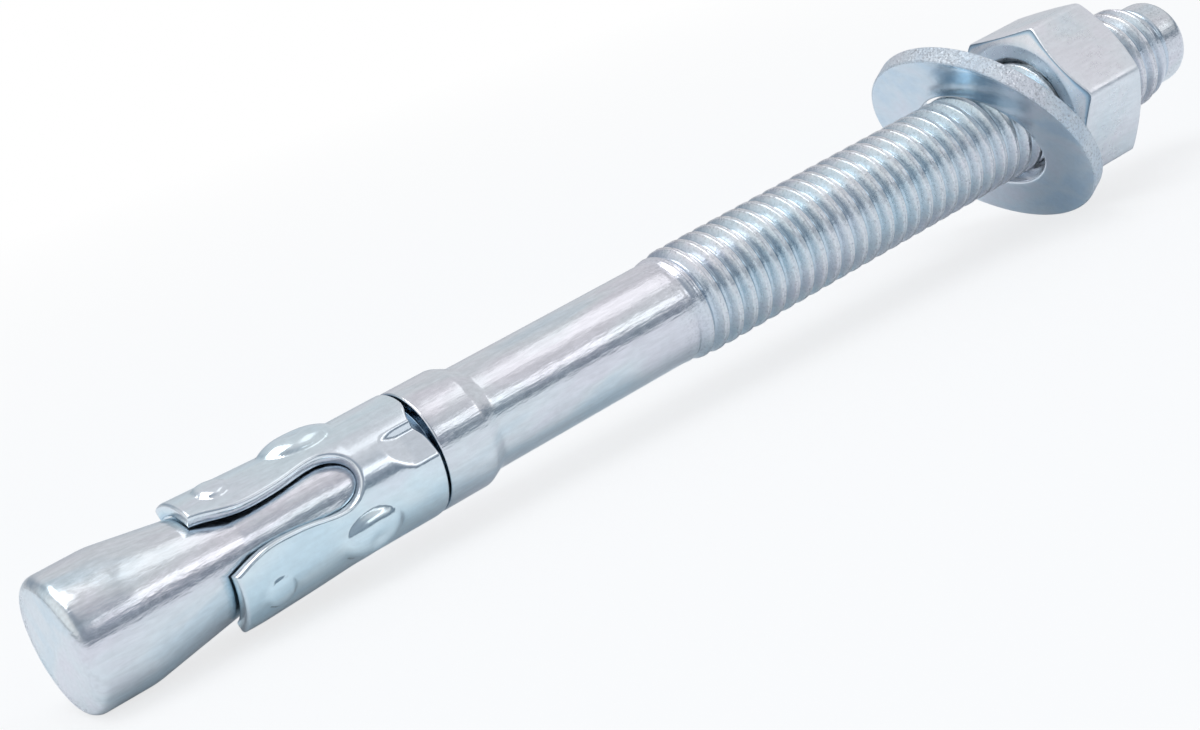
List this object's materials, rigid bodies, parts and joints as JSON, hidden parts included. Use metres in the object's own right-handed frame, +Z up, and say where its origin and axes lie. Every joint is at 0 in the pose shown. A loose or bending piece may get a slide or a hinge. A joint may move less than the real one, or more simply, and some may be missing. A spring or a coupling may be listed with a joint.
{
  "type": "wedge anchor",
  "caption": "Zinc-plated wedge expansion anchor: a threaded stud with a cone end, a slotted expansion clip, a slack washer and a hexagon nut, lying on its side.",
  "frame": {"origin": "on the stud's axis, at the flat end face of the cone end", "axes": "+X along the stud from the cone end to the nut end; +Z up as the anchor lies at rest; the washer's top leans towards the cone end in the XZ plane"},
  "size_m": [0.1184, 0.0218, 0.0196],
  "materials": {
    "stud_zinc": "bright zinc plating, smooth, faint blue and pink tint",
    "clip_zinc": "bright zinc plating on rolled sheet",
    "washer_zinc": "satin zinc plating, rough punched rim",
    "nut_zinc": "satin zinc plating"
  },
  "bodies": {
    "stud": {"stud": "stud_zinc"},
    "clip": {"expansion_clip": "clip_zinc"},
    "washer": {"washer": "washer_zinc"},
    "nut": {"hex_nut": "nut_zinc"}
  },
  "joints": [
    {"name": "clip_turn", "type": "hinge", "parent": "stud", "child": "clip", "pos_m": [0.027, 0, 0], "axis": [1, 0, 0], "continuous": true},
    {"name": "washer_travel", "type": "slide", "parent": "stud", "child": "washer", "axis": [1, 0, 0], "range_m": [-0.042, 0.0094]},
    {"name": "nut_turn", "type": "hinge", "parent": "washer", "child": "nut", "pos_m": [0.10328, 0, 0], "axis": [1, 0, 0], "range_deg": [-9500, 2100]}
  ],
  "couplings": [
    {"joint": "washer_travel", "follows": "nut_turn", "m_per_rad": 0.00025266}
  ]
}
